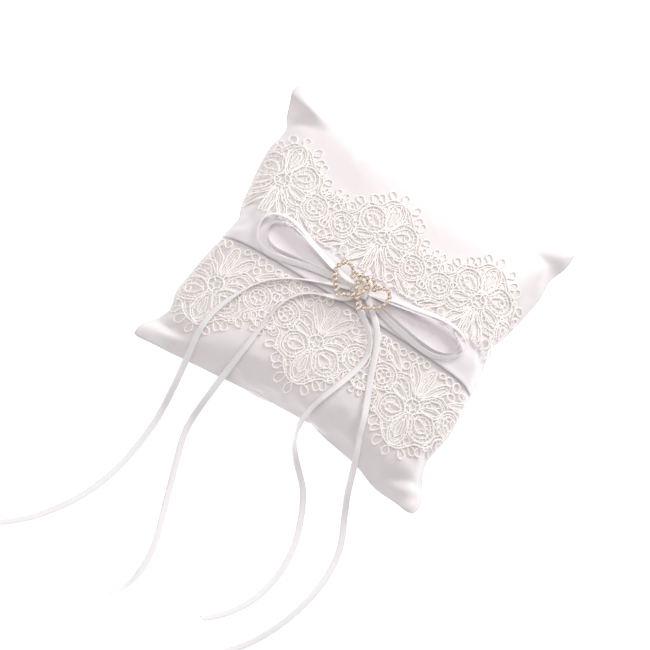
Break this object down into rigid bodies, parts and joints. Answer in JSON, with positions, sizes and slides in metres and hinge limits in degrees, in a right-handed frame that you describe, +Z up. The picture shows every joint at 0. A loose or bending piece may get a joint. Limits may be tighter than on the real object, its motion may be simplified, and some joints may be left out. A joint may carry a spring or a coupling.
{
  "type": "ring bearer pillow",
  "caption": "Square white satin pillow with a satin band, scalloped guipure lace on both sides of it, and a narrow ribbon bow with long tails under a double heart of clear stones.",
  "frame": {"origin": "middle of the pillow's underside, on the surface it lies on", "axes": "+X along the satin band, +Y away from the ribbon tails, +Z up out of the front panel"},
  "size_m": [0.1629, 0.2509, 0.045],
  "materials": {
    "panel_satin": "smooth heavy satin with a soft broad sheen",
    "band_satin": "smooth satin strip, flat pressed",
    "lace": "matt corded guipure thread",
    "ribbon_satin": "double faced narrow satin ribbon with woven edges",
    "fibre_filling": "loose polyester fibre, hidden",
    "heart_alloy": "polished rose gold plating",
    "crystal": "clear faceted foil-backed stones"
  },
  "bodies": {
    "root": {"back_panel": "panel_satin", "bow_knot": "ribbon_satin", "bow_loop_left_inner": "ribbon_satin", "bow_loop_left_outer": "ribbon_satin", "bow_loop_right_inner": "ribbon_satin", "bow_loop_right_outer": "ribbon_satin", "double_heart_frame": "heart_alloy", "filling": "fibre_filling", "front_panel": "panel_satin", "lace_far": "lace", "lace_near": "lace", "ribbon_tail_1": "ribbon_satin", "ribbon_tail_2": "ribbon_satin", "ribbon_tail_3": "ribbon_satin", "ribbon_tail_4": "ribbon_satin", "satin_band": "band_satin", "stone_left_01": "crystal", "stone_left_02": "crystal", "stone_left_03": "crystal", "stone_left_04": "crystal", "stone_left_05": "crystal", "stone_left_06": "crystal", "stone_left_07": "crystal", "stone_left_08": "crystal", "stone_left_09": "crystal", "stone_left_10": "crystal", "stone_left_11": "crystal", "stone_left_12": "crystal", "stone_left_13": "crystal", "stone_left_14": "crystal", "stone_left_15": "crystal", "stone_left_16": "crystal", "stone_left_17": "crystal", "stone_left_18": "crystal", "stone_left_19": "crystal", "stone_left_20": "crystal", "stone_left_21": "crystal", "stone_left_22": "crystal", "stone_right_01": "crystal", "stone_right_02": "crystal", "stone_right_03": "crystal", "stone_right_04": "crystal", "stone_right_05": "crystal", "stone_right_06": "crystal", "stone_right_07": "crystal", "stone_right_08": "crystal", "stone_right_09": "crystal", "stone_right_10": "crystal", "stone_right_11": "crystal", "stone_right_12": "crystal", "stone_right_13": "crystal", "stone_right_14": "crystal", "stone_right_15": "crystal", "stone_right_16": "crystal", "stone_right_17": "crystal", "stone_right_18": "crystal", "stone_right_19": "crystal"}
  },
  "joints": []
}
